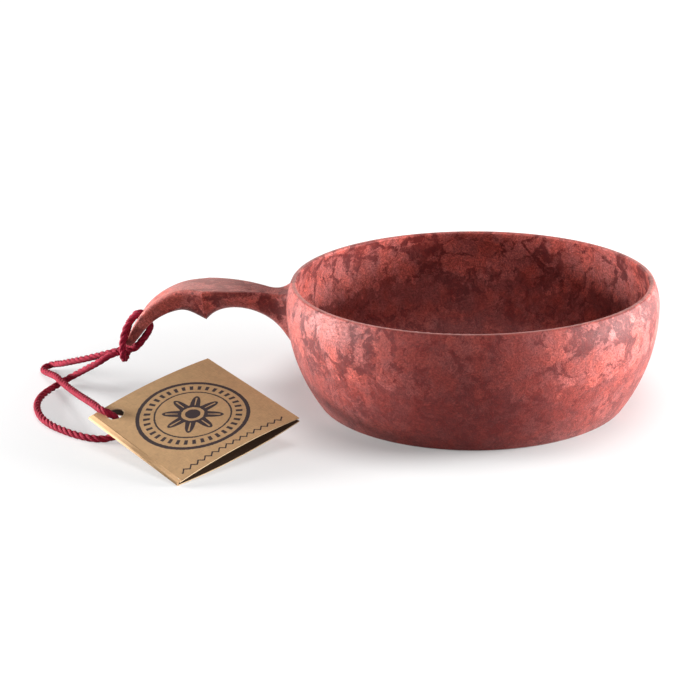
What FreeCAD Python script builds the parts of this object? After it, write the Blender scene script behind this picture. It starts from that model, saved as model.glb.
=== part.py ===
"""Low bowl with an arched finger handle, moulded in one piece from wood fibre.

A twisted cord is hitched through the eyelet at the handle's tip. It carries a
folded card tag, which lies beside the handle on the cord's knot.

Frame: the origin is the middle of the foot, +Z points up and the handle points
along -X. Lengths are in millimetres and angles in degrees.
"""
import FreeCAD, Part
import math
import os

import Sketcher
from FreeCAD import Placement, Rotation, Vector

doc = FreeCAD.newDocument("Bowl")

# ---------------------------------------------------------------- driving sizes
SIZES = {
    # bowl
    "bowl_height": 48.0,
    "belly_radius": 73.0,
    "belly_drop": 9.7,
    "rim_inset": 2.4,
    "foot_inset": 12.0,
    "foot_round": 1.6,
    "rim_wall": 2.0,
    "belly_wall": 3.0,
    "floor_thickness": 4.5,
    "inner_corner": 15.0,
    "rim_round": 0.75,
    # thumb groove and eyelet in the handle's tip. "_out" sizes are counted from
    # the bowl's widest point and "_drop" sizes down from its rim.
    "groove_out": 22.25,
    "groove_drop": 42.25,
    "groove_floor": 44.3,
    "groove_round": 6.0,
    "eyelet_out": 57.4,
    "eyelet_drop": 17.2,
    "eyelet_radius": 3.2,
    "eyelet_lean": 42.0,
    # cord
    "cord_diameter": 2.7,
    # knot under the tag
    "knot_out": 56.0,
    "knot_offset": 54.5,
    "knot_radius": 4.1,
    # tag: a card folded once, tilted where it rests on the knot
    "tag_side": 56.0,
    "card_thickness": 0.4,
    "tag_bow": 1.7,
    "tag_mouth": 0.5,
    "fold_radius": 0.6,
    "fold_clearance": 0.12,
    "tag_out": 29.9,
    "tag_offset": 56.2,
    "tag_lift": 10.1,
    "tag_tilt": 14.0,
    "tag_turn": 45.0,
    "tag_hole_radius": 3.2,
    "hole_from_fold": 8.0,
    "hole_from_edge": 6.3,
}

# Handle stations from the bowl's wall to the tip: how far out the top surface is
# and how far it has dropped, the section's lean towards the tip, half the width
# at the top, half the width of the keel, how deep the flat sides go, the whole
# depth, and the share of the half width that rounds each top edge. The spur parts
# the two finger grooves.
STATION_SIZES = ("out", "drop", "lean", "half_width", "keel", "side", "depth", "edge")
INNER_STATIONS = {
    "root": (-10.0, 2.4, 0.0, 17.0, 9.0, 26.0, 38.0, 0.2),
    "wall": (-1.8, 3.7, 0.0, 11.4, 7.8, 17.5, 28.0, 0.25),
    "neck": (3.6, 5.4, 0.0, 6.5, 5.0, 10.6, 17.8, 0.3),
    "waist": (9.6, 4.5, 0.0, 6.1, 4.7, 6.2, 10.4, 0.2),
    "back": (19.0, 3.3, 0.0, 9.0, 6.1, 4.8, 8.7, 0.13),
    "flank": (26.0, 2.8, 0.0, 10.3, 6.5, 5.8, 9.8, 0.13),
    "spur": (32.4, 2.7, 0.0, 10.9, 4.6, 12.6, 14.1, 0.13),
}
OUTER_STATIONS = {
    "spur": INNER_STATIONS["spur"],
    "lee": (36.5, 2.6, 3.0, 9.6, 5.7, 9.0, 12.4, 0.2),
    "shoulder": (41.0, 3.0, 10.0, 8.6, 5.9, 7.4, 10.5, 0.26),
    "bend": (48.5, 5.8, 28.0, 7.9, 5.9, 6.8, 8.3, 0.28),
    "grip": (55.9, 11.1, 42.0, 7.6, 5.8, 5.8, 6.5, 0.24),
    "brow": (61.3, 18.1, 55.0, 6.8, 5.3, 4.4, 4.9, 0.15),
    "tip": (65.4, 26.7, 66.0, 4.1, 3.2, 2.0, 2.5, 0.2),
}

sheet = doc.addObject("Spreadsheet::Sheet", "Sizes")
sheet.Label = "sizes"
for station, numbers in {**INNER_STATIONS, **OUTER_STATIONS}.items():
    for what, number in zip(STATION_SIZES, numbers):
        SIZES[f"{station}_{what}"] = number

# What follows from the sizes above, so that the handle, its cord and the tag keep
# their places on the bowl when the bowl changes.
FOLLOWING = {
    "belly_height": "bowl_height - belly_drop",
    "rim_radius": "belly_radius - rim_inset",
    "foot_radius": "belly_radius - foot_inset",
    "groove_reach": "belly_radius + groove_out",
    "groove_height": "bowl_height - groove_drop",
    "eyelet_reach": "belly_radius + eyelet_out",
    "eyelet_height": "bowl_height - eyelet_drop",
    "knot_reach": "belly_radius + knot_out",
    "tag_reach": "belly_radius + tag_out",
}
for station in {**INNER_STATIONS, **OUTER_STATIONS}:
    FOLLOWING[f"{station}_reach"] = f"belly_radius + {station}_out"
    FOLLOWING[f"{station}_height"] = f"bowl_height - {station}_drop"
cells = {**SIZES, **{alias: f"={formula}" for alias, formula in FOLLOWING.items()}}
for row, (alias, content) in enumerate(cells.items(), start=1):
    sheet.set(f"A{row}", alias)
    sheet.setAlias(f"B{row}", alias)
    sheet.set(f"B{row}", str(content))
doc.recompute()


def size(alias):
    """The value of one cell of the sheet."""
    return float(getattr(sheet, alias))


# ------------------------------------------------------------- drawing helpers
ORIGIN = (-1, 1)    # the sketch origin, as constraints name it
START, END = 1, 2


def new_body(name):
    body = doc.addObject("PartDesign::Body", name)
    body.Label = name
    return body


def plane_of(body, role):
    return next(f for f in body.Origin.OriginFeatures if f.Role == role)


def sketch_on(body, role, name):
    sketch = body.newObject("Sketcher::SketchObject", name)
    sketch.AttachmentSupport = [(plane_of(body, role), "")]
    sketch.MapMode = "FlatFace"
    return sketch


def value_of(formula):
    """The number an expression over the sheet gives now."""
    return float(sheet.evalExpression(formula))


def hold(sketch, constraint, formula):
    """Add one dimension and bind it to an expression over the sheet."""
    index = sketch.addConstraint(constraint)
    sketch.setExpression(f"Constraints[{index}]", formula)


def pin(sketch, vertex, x, y):
    """Hold a vertex at a position given by two expressions over the sheet."""
    for kind, formula in (("DistanceX", x), ("DistanceY", y)):
        number = value_of(formula)
        if abs(number) < 1e-9:
            axis = -2 if kind == "DistanceX" else -1
            sketch.addConstraint(Sketcher.Constraint("PointOnObject", *vertex, axis))
        elif number > 0:
            hold(sketch, Sketcher.Constraint(kind, *ORIGIN, *vertex, number), formula)
        else:
            hold(sketch, Sketcher.Constraint(kind, *vertex, *ORIGIN, -number), f"-({formula})")


def bulge(start, end, radius, side):
    """Middle of the short arc of this radius, on the given side of the chord."""
    chord = end - start
    across = Vector(-chord.y, chord.x, 0).normalize()
    rise = radius - math.sqrt(radius**2 - (chord.Length / 2)**2)
    return start + chord * 0.5 + across * (rise * side)


def outline(sketch, corners, arcs):
    """Closed outline through corners given as expressions.

    arcs maps the number of a side to (radius expression, side of the chord).
    """
    points = [Vector(value_of(x), value_of(y), 0) for x, y in corners]
    count = len(points)
    heads = []
    tails = []
    for i, start in enumerate(points):
        end = points[(i + 1) % count]
        if i in arcs:
            formula, side = arcs[i]
            middle = bulge(start, end, value_of(formula), side)
            flipped = side > 0
            first, last = (end, start) if flipped else (start, end)
            edge = sketch.addGeometry(Part.Arc(first, middle, last))
            hold(sketch, Sketcher.Constraint("Radius", edge, value_of(formula)), formula)
        else:
            edge = sketch.addGeometry(Part.LineSegment(start, end))
            flipped = False
        heads.append((edge, END if flipped else START))
        tails.append((edge, START if flipped else END))
    for i, (x, y) in enumerate(corners):
        sketch.addConstraint(Sketcher.Constraint("Coincident", *tails[i - 1], *heads[i]))
        pin(sketch, heads[i], x, y)


def revolved(name, corners, arcs):
    """A body turned about Z from an outline in the XZ plane."""
    body = new_body(name)
    sketch = sketch_on(body, "XZ_Plane", f"{name}_profile")
    outline(sketch, corners, arcs)
    turned = body.newObject("PartDesign::Revolution", f"{name}_turned")
    turned.Profile = sketch
    turned.ReferenceAxis = (sketch, ["V_Axis"])
    turned.Angle = 360.0
    body.Tip = turned
    doc.recompute()
    return body


def s(text):
    """Expression text with every sheet alias written in full."""
    words = text.split()
    return " ".join(f"Sizes.{w}" if w in cells else w for w in words)


# ------------------------------------------------------------------------ bowl
lower_bend = s("( ( belly_radius - foot_radius ) ^ 2 + belly_height ^ 2 )"
               " / ( 2 * ( belly_radius - foot_radius ) )")
upper_bend = s("( ( belly_radius - rim_radius ) ^ 2 + ( bowl_height - belly_height ) ^ 2 )"
               " / ( 2 * ( belly_radius - rim_radius ) )")

cup = revolved(
    "cup",
    [
        ("0", "0"),
        (s("foot_radius"), "0"),
        (s("belly_radius"), s("belly_height")),
        (s("rim_radius"), s("bowl_height")),
        ("0", s("bowl_height")),
    ],
    {1: (lower_bend, -1), 2: (upper_bend, -1)},
)


def rounded(body, feature, radius, height):
    """Round the outer circle that lies at this height."""
    edges = []
    for i, edge in enumerate(feature.Shape.Edges, start=1):
        box = edge.BoundBox
        if box.ZLength < 1e-6 and abs(box.ZMin - height) < 1e-6 and box.XLength > 1:
            edges.append(f"Edge{i}")
    fillet = body.newObject("PartDesign::Fillet", f"{body.Name}_{radius}")
    fillet.Base = (feature, edges)
    fillet.setExpression("Radius", s(radius))
    body.Tip = fillet
    doc.recompute()
    return fillet


foot_fillet = rounded(cup, cup.Tip, "foot_round", 0.0)
rounded(cup, foot_fillet, "rim_round", size("bowl_height"))

# The cavity keeps the wall's thickness below the belly and thins towards the rim.
bend_centre = f"({s('belly_radius')} - ({lower_bend}))"
inner_bend = f"({lower_bend} - {s('belly_wall')})"
corner_height = s("( floor_thickness + inner_corner )")
corner_centre = (f"({bend_centre} + sqrt(({inner_bend} - {s('inner_corner')})^2"
                 f" - ({corner_height} - {s('belly_height')})^2))")
corner_scale = f"({inner_bend} / ({inner_bend} - {s('inner_corner')}))"
inner_belly = s("( belly_radius - belly_wall )")
inner_rim = s("( rim_radius - rim_wall )")
rim_start = s("( bowl_height - rim_round )")
cavity = revolved(
    "cavity",
    [
        ("0", s("floor_thickness")),
        (corner_centre, s("floor_thickness")),
        (f"{bend_centre} + ({corner_centre} - {bend_centre}) * {corner_scale}",
         f"{s('belly_height')} + ({corner_height} - {s('belly_height')}) * {corner_scale}"),
        (inner_belly, s("belly_height")),
        (inner_rim, rim_start),
        (f"{inner_rim} + {s('rim_round')}", s("bowl_height")),
        (f"{inner_rim} + {s('rim_round')}", s("bowl_height * 1.05")),
        ("0", s("bowl_height * 1.05")),
    ],
    {
        1: (s("inner_corner"), -1),
        2: (inner_bend, -1),
        3: (f"(({inner_belly} - {inner_rim})^2 + ({rim_start} - {s('belly_height')})^2)"
            f" / (2 * ({inner_belly} - {inner_rim}))", -1),
        4: (s("rim_round"), 1),
    },
)

# ---------------------------------------------------------------------- handle
handle = new_body("handle")


def handle_section(station, turn):
    """One cross-section: flat top with rounded edges, flat sides, round keel."""
    sketch = sketch_on(handle, "YZ_Plane", f"{station}_{turn}")
    sketch.AttachmentOffset = Placement(
        Vector(0, size(f"{station}_height"), -size(f"{station}_reach")),
        Rotation(Vector(1, 0, 0), -size(f"{station}_lean")),
    )
    place = ".AttachmentOffset.Base"
    sketch.setExpression(place + ".y", s(f"{station}_height"))
    sketch.setExpression(place + ".z", s(f"- {station}_reach"))
    width = s(f"{station}_half_width")
    keel = s(f"{station}_keel")
    side = s(f"{station}_side")
    depth = s(f"{station}_depth")
    flank = f"sqrt(({width} - {keel})^2 + {side}^2)"
    setback = f"({width} * {s(station + '_edge')})"
    land = f"({width} - {setback})"
    edge_out = f"({width} - {setback} * ({width} - {keel}) / {flank})"
    edge_down = f"(-{setback} * {side} / {flank})"
    edge_radius = f"{setback} * {side} / ({flank} + {width} - {keel})"
    keel_radius = f"({keel}^2 + ({depth} - {side})^2) / (2 * ({depth} - {side}))"
    outline(
        sketch,
        [
            (f"-{land}", "0"),
            (land, "0"),
            (edge_out, edge_down),
            (keel, f"-{side}"),
            (f"-{keel}", f"-{side}"),
            (f"-{edge_out}", edge_down),
        ],
        {1: (edge_radius, 1), 3: (keel_radius, 1), 5: (edge_radius, 1)},
    )
    return sketch


for turn, stations in (("inner", INNER_STATIONS), ("outer", OUTER_STATIONS)):
    sections = [handle_section(station, turn) for station in stations]
    doc.recompute()
    loft = handle.newObject("PartDesign::AdditiveLoft", f"{turn}_arch")
    loft.Profile = sections[0]
    loft.Sections = sections[1:]
    loft.Ruled = False
    handle.Tip = loft
    doc.recompute()

# ------------------------------------------------------ the moulding as a whole
def boolean(kind, name, **members):
    solid = doc.addObject(kind, name)
    for key, value in members.items():
        setattr(solid, key, value)
    doc.recompute()
    return solid


groove = doc.addObject("Part::Torus", "thumb_groove")
groove.setExpression("Radius1", s("groove_floor + groove_round"))
groove.setExpression("Radius2", s("groove_round"))
groove.Angle3 = 110.0
groove.Placement.Rotation = Rotation(Vector(0, 1, 0), -90) * Rotation(Vector(1, 0, 0), 90)
groove.setExpression("Placement.Base.x", s("- groove_reach"))
groove.setExpression("Placement.Base.z", s("groove_height"))

eyelet = doc.addObject("Part::Cylinder", "eyelet")
eyelet.setExpression("Radius", s("eyelet_radius"))
eyelet.setExpression("Height", s("grip_depth * 4"))
lean = Rotation(Vector(0, 1, 0), -size("eyelet_lean"))
half_height = lean.multVec(Vector(0, 0, -2 * size("grip_depth")))
eyelet.Placement = Placement(
    Vector(-size("eyelet_reach"), 0, size("eyelet_height")) + half_height, lean
)

filled = boolean("Part::MultiFuse", "cup_and_handle", Shapes=[cup, handle])
hollow = boolean("Part::Cut", "hollowed", Base=filled, Tool=cavity)
grooved = boolean("Part::Cut", "grooved", Base=hollow, Tool=groove)
bowl = boolean("Part::Cut", "bowl", Base=grooved, Tool=eyelet)
bowl.Label = "bowl"


# ------------------------------------------------------------------------ cord
# The cord is doubled and passes up through the eyelet, over the groove and back
# round the tip, where its loop holds the two ends. Both ends go to the tag: the
# upper strand down through the tag's holes, the lower one under the tag.
# Each point is how far out from the bowl's widest point it is, how far across,
# and how far down from the rim, or for the strands up from the table.
HITCH = [
    (69.5, 1.45, 31.0),
    (66.3, 1.45, 30.1),
    (61.9, 1.45, 29.2),
    (57.9, 1.45, 24.5),
    (54.9, 1.45, 20.3),
    (59.2, 1.5, 14.3),
    (62.3, 2.2, 16.0),
    (64.8, 3.0, 19.6),
    (66.0, 3.8, 23.0),
    (66.7, 4.5, 26.7),
    (66.8, 4.6, 30.0),
    (66.7, 4.2, 32.6),
    (66.7, 1.5, 33.6),
]
STRAND_START = [(69.5, 1.45, 31.0), (72.7, 1.45, 31.9)]
UPPER_STRAND = [
    (77.6, 4.2, 14.0),
    (87.4, 8.9, 10.2),
    (93.0, 13.4, 7.8),
    (98.0, 17.3, 5.5),
    (101.6, 21.0, 3.8),
    (104.4, 24.0, 2.6),
    (106.7, 24.0, 2.0),
    (108.0, 22.8, 1.6),
    (108.2, 20.3, 1.4),
    (105.7, 16.9, 1.4),
    (100.9, 10.0, 2.2),
    (96.9, 3.6, 4.7),
    (93.4, -2.8, 4.9),
    (87.2, -13.8, 6.1),
    (80.1, -26.5, 8.0),
    (73.6, -39.0, 9.6),
    (68.4, -47.6, 12.2),
    (65.6, -53.2, 13.9),
    (62.8, -56.5, 13.1),
    (60.0, -56.2, 11.3),
    (59.19, -55.18, 9.41),
    (58.13, -54.95, 7.67),
]
LOWER_STRAND = [
    (76.9, -1.4, 13.2),
    (81.6, 1.6, 10.0),
    (87.4, 5.6, 6.0),
    (93.4, 8.2, 2.2),
    (97.0, 1.6, 1.4),
    (99.9, -7.6, 1.4),
    (100.1, -16.5, 1.4),
    (98.2, -24.2, 1.4),
    (94.6, -32.9, 1.4),
    (88.8, -41.0, 1.4),
    (82.2, -46.8, 1.4),
    (75.2, -51.8, 1.4),
    (68.5, -55.0, 1.4),
    (63.0, -55.2, 1.5),
    (59.87, -54.89, 2.68),
]
ARC_SHARE = 0.45    # of the shorter run, taken by each end of an arc


def tube(name, route):
    """A cord along straight runs joined by tangent arcs."""
    points = [Vector(*p) for p in route]
    edges = []
    radii = []
    start = points[0]
    for before, corner, after in zip(points, points[1:], points[2:]):
        back = before - corner
        ahead = after - corner
        setback = ARC_SHARE * min(back.Length, ahead.Length)
        half_turn = (math.pi - back.getAngle(ahead)) / 2
        radius = setback / math.tan(half_turn)
        radii.append(round(radius, 1))
        back.normalize()
        ahead.normalize()
        inwards = (back + ahead).normalize()
        middle = corner + inwards * (radius / math.cos(half_turn) - radius)
        enter = corner + back * setback
        leave = corner + ahead * setback
        edges.append(Part.LineSegment(start, enter).toShape())
        edges.append(Part.Arc(enter, middle, leave).toShape())
        start = leave
    edges.append(Part.LineSegment(start, points[-1]).toShape())
    wire = Part.Wire(edges)
    section = math.pi * (size("cord_diameter") / 2) ** 2
    ring = Part.makeCircle(size("cord_diameter") / 2, points[0], points[1] - points[0])
    solid = wire.makePipeShell([Part.Wire([ring])], True, True)
    cord = doc.addObject("Part::Feature", name)
    cord.Label = name
    cord.Shape = solid
    share = solid.Volume / (section * wire.Length)
    print(f"{name}: {wire.Length:.1f} mm, arcs {radii}, volume share {share:.3f}")
    return cord


def below_rim(points):
    return [(-size("belly_radius") - out, across, size("bowl_height") - drop)
            for out, across, drop in points]


def above_table(points):
    return [(-size("belly_radius") - out, across, height) for out, across, height in points]


def mirrored(points):
    return [(x, -y, z) for x, y, z in points]


half_hitch = below_rim(HITCH)
strand_start = below_rim(STRAND_START)
cord_hitch = tube("cord_hitch", half_hitch + mirrored(half_hitch)[::-1])
upper_strand = tube("cord_upper_strand", strand_start + above_table(UPPER_STRAND))
lower_strand = tube("cord_lower_strand", mirrored(strand_start) + above_table(LOWER_STRAND))

knot = doc.addObject("Part::Sphere", "cord_knot")
knot.Label = "cord_knot"
knot.setExpression("Radius", s("knot_radius"))
knot.setExpression("Placement.Base.x", s("- knot_reach"))
knot.setExpression("Placement.Base.y", s("- knot_offset"))
knot.setExpression("Placement.Base.z", s("knot_radius * 1.01"))
doc.recompute()

# ------------------------------------------------------------------------- tag
# In the leaves' own frame the fold runs along Y at the left and the closed card
# is a slim lens. The lower leaf carries the rounded fold.
tag_place = Placement(
    Vector(-size("tag_reach"), -size("tag_offset"), size("tag_lift")),
    Rotation(Vector(1, 0, 0), size("tag_tilt")) * Rotation(Vector(0, 0, 1), size("tag_turn")),
)
half = s("( tag_side / 2 )")
axis = s("( fold_radius - tag_side / 2 )")
outside = s("fold_radius")
inside = s("( fold_radius - card_thickness )")
card = s("card_thickness")
mouth = s("tag_mouth")
leaf_bend = s("( ( tag_side - fold_radius ) ^ 2 / 4 + tag_bow ^ 2 ) / ( 2 * tag_bow )")
leaf_start = f"({axis} + sqrt(({outside} + {s('fold_clearance')})^2 - {inside}^2))"


def leaf(name, corners, arcs):
    """A card leaf drawn edge on, with its cord hole."""
    body = new_body(name)
    profile = sketch_on(body, "XZ_Plane", f"{name}_profile")
    outline(profile, corners, arcs)
    pad = body.newObject("PartDesign::Pad", f"{name}_card")
    pad.Profile = profile
    pad.SideType = "Symmetric"
    pad.setExpression("Length", s("tag_side"))
    body.Tip = pad
    doc.recompute()
    ring = sketch_on(body, "XY_Plane", f"{name}_ring")
    x = value_of(f"{s('hole_from_fold')} - {half}")
    y = value_of(f"{half} - {s('hole_from_edge')}")
    circle = ring.addGeometry(
        Part.Circle(Vector(x, y, 0), Vector(0, 0, 1), size("tag_hole_radius"))
    )
    pin(ring, (circle, 3), f"{s('hole_from_fold')} - {half}", f"{half} - {s('hole_from_edge')}")
    hold(ring, Sketcher.Constraint("Radius", circle, size("tag_hole_radius")),
         s("tag_hole_radius"))
    hole = body.newObject("PartDesign::Pocket", f"{name}_hole")
    hole.Profile = ring
    hole.Type = "ThroughAll"
    hole.SideType = "Symmetric"
    before = pad.Shape.Volume
    body.Tip = hole
    body.Placement = tag_place
    doc.recompute()
    print(f"{name}: hole takes {before - hole.Shape.Volume:.2f} mm3")
    return body


lower_leaf = leaf(
    "tag_lower_leaf",
    [
        (f"{axis} + {outside} * 0.5", f"{outside} * sqrt(0.75)"),
        (f"-{half}", "0"),
        (axis, f"-{outside}"),
        (half, f"-({mouth} + {card})"),
        (half, f"-{mouth}"),
        (axis, f"-{inside}"),
        (f"{axis} - {inside}", "0"),
        (f"{axis} + {inside} * 0.5", f"{inside} * sqrt(0.75)"),
    ],
    {0: (outside, -1), 1: (outside, -1), 2: (leaf_bend, -1), 4: (leaf_bend, 1),
     5: (inside, 1), 6: (inside, 1)},
)
upper_leaf = leaf(
    "tag_upper_leaf",
    [
        (leaf_start, inside),
        (half, mouth),
        (half, f"{mouth} + {card}"),
        (leaf_start, outside),
    ],
    {0: (leaf_bend, 1), 2: (leaf_bend, -1)},
)

# ---------------------------------------------------------------------- export
nodes = [bowl, cord_hitch, upper_strand, lower_strand, knot, lower_leaf, upper_leaf]
doc.recompute()
for item in doc.Objects:
    if "Invalid" in item.State or "Error" in item.State:
        raise RuntimeError(f"{item.Label} is not sound: {item.State}")
os.makedirs("parts", exist_ok=True)
for node in nodes:
    shape = node.Shape
    if shape.isNull() or not shape.isValid() or shape.Volume <= 0:
        raise RuntimeError(f"{node.Label} has no valid shape")
    shape.exportStep(f"parts/{node.Label}.step")
    print(f"{node.Label}: {shape.Volume / 1000:.2f} cm3")
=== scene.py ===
"""A handled bowl of moulded wood fibre, with its twisted cord and folded card tag.

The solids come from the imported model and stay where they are. This script gives
the moulding and the card their surfaces, and lays a twisted cord in the place of
the cord's plain solids. The sections follow the object as it is put together: the
moulding, the hitched cord, its two ends, the knot and the tag, and the studio last.
"""
import bpy
import bmesh
import math
from mathutils import Matrix, Vector


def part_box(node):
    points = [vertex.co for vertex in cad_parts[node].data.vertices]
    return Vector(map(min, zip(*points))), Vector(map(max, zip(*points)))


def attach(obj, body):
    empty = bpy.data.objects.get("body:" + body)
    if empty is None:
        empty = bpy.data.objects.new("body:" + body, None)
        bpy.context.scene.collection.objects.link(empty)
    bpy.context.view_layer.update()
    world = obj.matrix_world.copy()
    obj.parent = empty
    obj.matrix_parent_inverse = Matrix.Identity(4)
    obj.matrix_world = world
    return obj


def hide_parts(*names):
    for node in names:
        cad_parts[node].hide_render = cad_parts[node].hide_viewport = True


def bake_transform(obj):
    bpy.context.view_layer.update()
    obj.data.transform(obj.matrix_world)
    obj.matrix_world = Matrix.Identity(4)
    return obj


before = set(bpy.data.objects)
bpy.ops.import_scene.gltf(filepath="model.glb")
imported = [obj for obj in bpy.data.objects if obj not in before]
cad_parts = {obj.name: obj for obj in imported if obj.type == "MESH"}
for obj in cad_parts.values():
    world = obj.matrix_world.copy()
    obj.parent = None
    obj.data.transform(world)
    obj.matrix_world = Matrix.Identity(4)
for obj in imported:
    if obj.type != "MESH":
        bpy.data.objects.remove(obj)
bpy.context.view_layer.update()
scene = bpy.context.scene

# ------------------------------------------------------------------- moulding
# The bowl and its handle are one moulding of red-dyed wood fibre and binder.
# The fibre lies in pale feathery flakes over a deeper red; the rim, the edges and the top of
# the handle get a pale painted highlight.


def new_material(name):
    """An empty node material with one Principled shader."""
    material = bpy.data.materials.new(name)
    material.use_nodes = True
    material.node_tree.nodes.clear()
    shader = material.node_tree.nodes.new("ShaderNodeBsdfPrincipled")
    output = material.node_tree.nodes.new("ShaderNodeOutputMaterial")
    material.node_tree.links.new(shader.outputs["BSDF"], output.inputs["Surface"])
    return material, shader


class Wiring:
    """Short names for adding and joining nodes in one tree."""

    def __init__(self, tree):
        self.tree = tree

    def feed(self, socket, value):
        """Join another node's output to a socket, or write a plain value in it."""
        if isinstance(value, bpy.types.NodeSocket):
            self.tree.links.new(value, socket)
        elif value is not None:
            socket.default_value = value

    def node(self, kind, settings=None, **inputs):
        """A node with its settings and inputs; _ in an input's name is a space."""
        made = self.tree.nodes.new(kind)
        for key, value in (settings or {}).items():
            setattr(made, key, value)
        for key, value in inputs.items():
            self.feed(made.inputs[key.replace("_", " ")], value)
        return made

    def maths(self, operation, *values, clamp=False):
        """One sum on numbers."""
        made = self.tree.nodes.new("ShaderNodeMath")
        made.operation = operation
        made.use_clamp = clamp
        for socket, value in zip(made.inputs, values):
            self.feed(socket, value)
        return made.outputs[0]

    def vector(self, operation, *values):
        """One sum on vectors."""
        made = self.tree.nodes.new("ShaderNodeVectorMath")
        made.operation = operation
        for socket, value in zip(made.inputs, values):
            self.feed(socket, value)
        if operation in {"LENGTH", "DISTANCE", "DOT_PRODUCT"}:
            return made.outputs["Value"]
        return made.outputs["Vector"]

    def scaled(self, vector, factor):
        """The vector times a number."""
        made = self.tree.nodes.new("ShaderNodeVectorMath")
        made.operation = "SCALE"
        self.feed(made.inputs[0], vector)
        self.feed(made.inputs["Scale"], factor)
        return made.outputs["Vector"]

    def noise(self, vector, size, detail=2.0, roughness=0.5, output="Fac"):
        """Noise whose features are about this size, in the vector's unit."""
        made = self.node(
            "ShaderNodeTexNoise", Vector=vector, Scale=1.0 / size,
            Detail=detail, Roughness=roughness,
        )
        return made.outputs[output]

    def ramp(self, value, low, high, to_low=0.0, to_high=1.0, smooth=True):
        """Goes from to_low to to_high while the value goes from low to high."""
        made = self.tree.nodes.new("ShaderNodeMapRange")
        made.interpolation_type = "SMOOTHSTEP" if smooth else "LINEAR"
        for socket, number in zip(made.inputs[:5], (value, low, high, to_low, to_high)):
            self.feed(socket, number)
        return made.outputs[0]

    def mix(self, factor, first, second, blend="MIX"):
        """Two colours laid over each other."""
        made = self.tree.nodes.new("ShaderNodeMix")
        made.data_type = "RGBA"
        made.blend_type = blend
        self.feed(made.inputs[0], factor)
        self.feed(made.inputs[6], first)
        self.feed(made.inputs[7], second)
        return made.outputs[2]


def group_tree(name, inputs, outputs):
    """A shader group with its sockets: (name, kind, default) and (name, kind)."""
    tree = bpy.data.node_groups.new(name, "ShaderNodeTree")
    kinds = {
        "float": "NodeSocketFloat",
        "colour": "NodeSocketColor",
        "vector": "NodeSocketVector",
    }
    for label, kind, default in inputs:
        socket = tree.interface.new_socket(label, in_out="INPUT", socket_type=kinds[kind])
        if default is not None:
            socket.default_value = default
    for label, kind in outputs:
        tree.interface.new_socket(label, in_out="OUTPUT", socket_type=kinds[kind])
    into = tree.nodes.new("NodeGroupInput")
    out = tree.nodes.new("NodeGroupOutput")
    return tree, into.outputs, out.inputs


def srgb(red, green, blue):
    """A screen colour, 0 to 255, as the linear colour that nodes take."""
    def linear(value):
        value /= 255
        return value / 12.92 if value <= 0.04045 else ((value + 0.055) / 1.055) ** 2.4
    return (linear(red), linear(green), linear(blue), 1.0)


# Sizes within the fibre, in millimetres.
FLAKE_SIZE = 12.0
DRIFT_SIZE = 14.0
DRIFT_REACH = 22.0
FRAY_SIZE = 2.2
FRAY_REACH = 3.4
LOBES_PER_MM = 0.21
LOBE_REACH = 2.6
PATCHES_PER_MM = 0.40
BAND_FOOT = 25.2
BAND_FULL = 26.8
BAND_WANDER = 11.0

flakes, into, out = group_tree(
    "fibre flakes",
    [
        ("Point", "vector", None),
        ("Matrix", "colour", srgb(100, 22, 20)),
        ("Flake", "colour", srgb(196, 100, 90)),
        ("Vein", "colour", srgb(70, 18, 18)),
        ("Flake Size", "float", FLAKE_SIZE),
        ("Gap", "float", 1.0),
        ("Contrast", "float", 1.0),
    ],
    [("Colour", "colour"), ("Roughness", "float"), ("Height", "float")],
)
w = Wiring(flakes)
point = into["Point"]
half = (0.5, 0.5, 0.5)

# Each flake is a fan of fibres round its own root. Neighbours meet at ragged,
# fern-like edges, and the deeper red shows in the gaps between them.
drift = w.vector("SUBTRACT", w.noise(point, DRIFT_SIZE, 3.0, 0.55, "Color"), half)
drift = w.scaled(drift, DRIFT_REACH)
fray = w.vector("SUBTRACT", w.noise(point, FRAY_SIZE, 5.0, 0.66, "Color"), half)
fray = w.scaled(fray, FRAY_REACH)
warped = w.vector("ADD", w.vector("ADD", point, drift), fray)
in_flakes = w.vector("DIVIDE", warped, into["Flake Size"])
cells = w.node("ShaderNodeTexVoronoi", Vector=in_flakes, Scale=1.0, Randomness=1.0)
borders = w.node("ShaderNodeTexVoronoi", {"feature": "DISTANCE_TO_EDGE"},
                 Vector=in_flakes, Scale=1.0, Randomness=1.0)
root = w.vector("MULTIPLY", cells.outputs["Position"], into["Flake Size"])
spoke = w.vector("NORMALIZE", w.vector("SUBTRACT", warped, root))
fan = w.noise(w.vector("ADD", w.scaled(spoke, 5.0), root), 0.9, 3.0, 0.6)

# Small round lobes scallop every edge.
lobes = w.node("ShaderNodeTexVoronoi", Vector=w.vector("ADD", point, w.scaled(fray, 0.7)),
               Scale=LOBES_PER_MM)
lobe = w.maths("SUBTRACT", 0.42, lobes.outputs["Distance"])
inward = w.maths("MULTIPLY", borders.outputs["Distance"], into["Flake Size"])
inward = w.maths("ADD", inward, w.maths("MULTIPLY", lobe, LOBE_REACH))
room = w.ramp(w.noise(point, 19.0, 2.0, 0.5), 0.42, 0.68, -0.6, 2.7)
room = w.maths("ADD", room, w.ramp(fan, 0.3, 0.7, -0.9, 0.9))
room = w.maths("MULTIPLY", room, into["Gap"])
whole = w.ramp(inward, w.maths("SUBTRACT", room, 0.22), w.maths("ADD", room, 0.30))

# Chopped fibres: in each small patch the noise is drawn out one way.
patch = w.node("ShaderNodeTexVoronoi", Vector=w.vector("ADD", point, fray),
               Scale=PATCHES_PER_MM)
lying = w.vector("NORMALIZE", w.vector("SUBTRACT", patch.outputs["Color"], half))
run = w.maths("MULTIPLY", w.vector("DOT_PRODUCT", point, lying), -0.86)
strokes = w.noise(w.vector("ADD", point, w.scaled(lying, run)), 0.42, 2.0, 0.55)

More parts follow.
